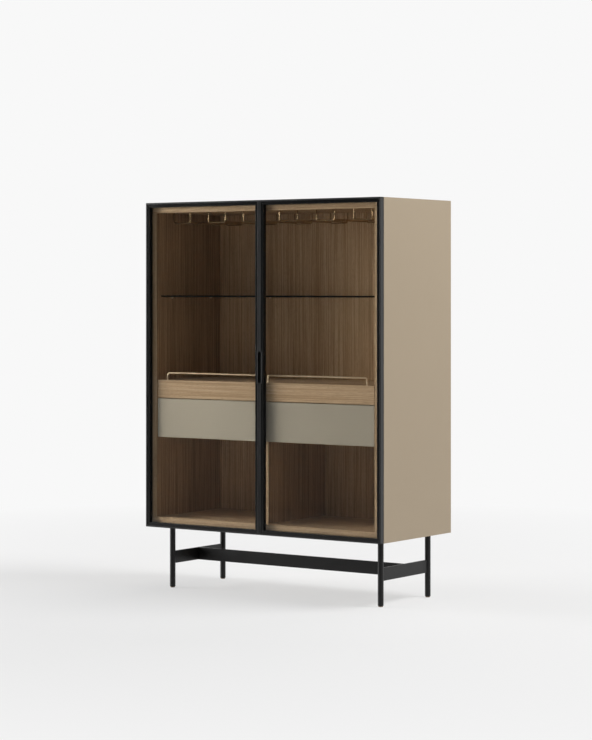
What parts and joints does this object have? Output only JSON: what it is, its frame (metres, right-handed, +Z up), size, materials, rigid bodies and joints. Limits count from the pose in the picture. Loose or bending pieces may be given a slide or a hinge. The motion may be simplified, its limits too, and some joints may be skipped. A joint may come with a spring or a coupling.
{
  "type": "bar cabinet",
  "caption": "Bar cabinet with two slim-framed glass doors, an oak interior with a glass shelf, stemware hangers, pull-out trays and drawers, on a black steel base.",
  "frame": {"origin": "on the floor, under the middle of the cabinet's box", "axes": "+Z up, -Y towards the user (doors), +X to the right as seen from the front"},
  "size_m": [1, 0.45, 1.378],
  "materials": {
    "taupe_lacquer": "satin lacquer on board",
    "oak_veneer": "stained oak veneer, matt",
    "shelf_glass": "clear tempered glass, polished edge",
    "brushed_brass": "pale brushed brass",
    "zinc_plated_steel": "zinc plated",
    "felt": "felt pad",
    "black_steel": "matt black powder coat",
    "smoked_glass": "smoked tempered glass",
    "black_rubber": "black seal",
    "grey_lacquer": "satin lacquer",
    "black_aluminium": "black anodised, fine brushed"
  },
  "bodies": {
    "case": {"outer_top": "taupe_lacquer", "outer_bottom": "taupe_lacquer", "outer_left_side": "taupe_lacquer", "outer_right_side": "taupe_lacquer", "rear_panel": "taupe_lacquer", "oak_ceiling": "oak_veneer", "oak_floor": "oak_veneer", "oak_left_wall": "oak_veneer", "oak_right_wall": "oak_veneer", "oak_back": "oak_veneer", "lower_divider": "oak_veneer", "glass_shelf": "shelf_glass", "shelf_pins": "brushed_brass", "stemware_hangers": "brushed_brass", "case_hinge_leaves": "black_steel", "hinge_screws": "zinc_plated_steel", "catch_magnets": "zinc_plated_steel", "runner_channels": "zinc_plated_steel", "leg_front_left": "black_steel", "leg_front_right": "black_steel", "leg_rear_left": "black_steel", "leg_rear_right": "black_steel", "left_base_bar": "black_steel", "right_base_bar": "black_steel", "long_base_bar": "black_steel", "leg_plates": "black_steel", "plate_screws": "zinc_plated_steel", "leg_glides": "felt"},
    "left_door": {"left_door_hinge_stile": "black_aluminium", "left_door_meeting_stile": "black_aluminium", "left_door_top_rail": "black_aluminium", "left_door_bottom_rail": "black_aluminium", "left_door_glass": "smoked_glass", "left_door_gasket": "black_rubber", "left_door_pull": "black_rubber", "left_door_pivot_blocks": "zinc_plated_steel", "left_door_corner_keys": "zinc_plated_steel"},
    "left_tray": {"left_tray_front": "oak_veneer", "left_tray_frame": "oak_veneer", "left_tray_gallery": "brushed_brass", "left_tray_sliders": "zinc_plated_steel"},
    "left_drawer": {"left_drawer_front": "grey_lacquer", "left_drawer_box": "oak_veneer", "left_drawer_sliders": "zinc_plated_steel"},
    "right_door": {"right_door_hinge_stile": "black_aluminium", "right_door_meeting_stile": "black_aluminium", "right_door_top_rail": "black_aluminium", "right_door_bottom_rail": "black_aluminium", "right_door_glass": "smoked_glass", "right_door_gasket": "black_rubber", "right_door_pull": "black_rubber", "right_door_pivot_blocks": "zinc_plated_steel", "right_door_corner_keys": "zinc_plated_steel"},
    "right_tray": {"right_tray_front": "oak_veneer", "right_tray_frame": "oak_veneer", "right_tray_gallery": "brushed_brass", "right_tray_sliders": "zinc_plated_steel"},
    "right_drawer": {"right_drawer_front": "grey_lacquer", "right_drawer_box": "oak_veneer", "right_drawer_sliders": "zinc_plated_steel"}
  },
  "joints": [
    {"name": "left_door_swing", "type": "hinge", "parent": "case", "child": "left_door", "pos_m": [-0.4955, -0.2165, 0.8], "axis": [0, 0, -1], "range_deg": [0, 105]},
    {"name": "right_door_swing", "type": "hinge", "parent": "case", "child": "right_door", "pos_m": [0.4955, -0.2165, 0.8], "axis": [0, 0, 1], "range_deg": [0, 105]},
    {"name": "left_tray_slide", "type": "slide", "parent": "case", "child": "left_tray", "axis": [0, -1, 0], "range_m": [0, 0.28]},
    {"name": "left_drawer_slide", "type": "slide", "parent": "case", "child": "left_drawer", "axis": [0, -1, 0], "range_m": [0, 0.28]},
    {"name": "right_tray_slide", "type": "slide", "parent": "case", "child": "right_tray", "axis": [0, -1, 0], "range_m": [0, 0.28]},
    {"name": "right_drawer_slide", "type": "slide", "parent": "case", "child": "right_drawer", "axis": [0, -1, 0], "range_m": [0, 0.28]}
  ],
  "couplings": [
    {"joint": "left_tray_slide", "follows": "left_door_swing", "m_per_rad": 0.034},
    {"joint": "left_drawer_slide", "follows": "left_door_swing", "m_per_rad": 0.034},
    {"joint": "right_tray_slide", "follows": "right_door_swing", "m_per_rad": 0.034},
    {"joint": "right_drawer_slide", "follows": "right_door_swing", "m_per_rad": 0.034}
  ]
}
